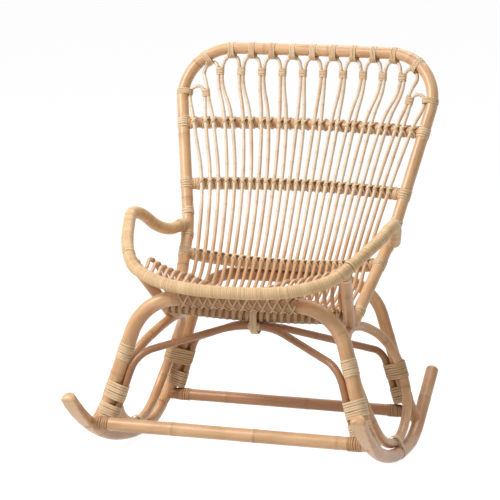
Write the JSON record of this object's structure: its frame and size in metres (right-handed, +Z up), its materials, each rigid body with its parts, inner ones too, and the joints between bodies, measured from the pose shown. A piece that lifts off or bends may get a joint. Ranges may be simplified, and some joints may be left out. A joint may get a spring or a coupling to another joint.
{
  "type": "rattan rocking chair",
  "caption": "Low rattan rocking chair with bent runners, side hoops, open arms and a curved seat and back of thin looped rods tied with cane.",
  "frame": {"origin": "on the floor, in the chair's middle plane, under the line where the two runners touch the floor", "axes": "+Z up; -Y towards the front, where a sitter's knees point; +X to the right of a viewer who faces the chair's front"},
  "size_m": [0.7056, 0.768, 0.9151],
  "materials": {
    "pole": "satin lacquered rattan pole",
    "rod": "satin peeled rattan rod",
    "cane": "smooth flat cane strip"
  },
  "bodies": {
    "root": {"arm_joint_bands": "cane", "back_frame": "pole", "brace_tie": "cane", "front_arch": "pole", "front_brace": "pole", "front_rim": "pole", "front_rim_wrap": "cane", "front_stretcher": "pole", "front_stretcher_cuffs": "cane", "left_arm": "pole", "left_arm_wrap": "cane", "left_front_leg_bindings": "cane", "left_rear_leg_bindings": "cane", "left_runner": "pole", "left_side_loop": "pole", "left_side_post": "pole", "lower_rail": "pole", "lower_rail_bands": "cane", "lower_rail_lashings": "cane", "middle_rail": "pole", "middle_rail_bands": "cane", "middle_rail_lashings": "cane", "neck_ties": "cane", "rear_arch": "pole", "rear_brace": "pole", "rear_stretcher": "pole", "rear_stretcher_cuffs": "cane", "right_arm": "pole", "right_arm_wrap": "cane", "right_front_leg_bindings": "cane", "right_rear_leg_bindings": "cane", "right_runner": "pole", "right_side_loop": "pole", "right_side_post": "pole", "rim_lacing": "cane", "seat_rail": "pole", "seat_rail_lashings": "cane", "side_loop_straps": "cane", "spindle_loop_01": "rod", "spindle_loop_02": "rod", "spindle_loop_03": "rod", "spindle_loop_04": "rod", "spindle_loop_05": "rod", "spindle_loop_06": "rod", "spindle_loop_07": "rod", "spindle_loop_08": "rod", "spindle_loop_09": "rod", "spindle_loop_10": "rod", "spindle_loop_11": "rod", "spindle_loop_12": "rod", "spindle_loop_13": "rod", "top_ties": "cane", "upper_rail": "pole", "upper_rail_bands": "cane", "upper_rail_lashings": "cane"}
  },
  "joints": []
}
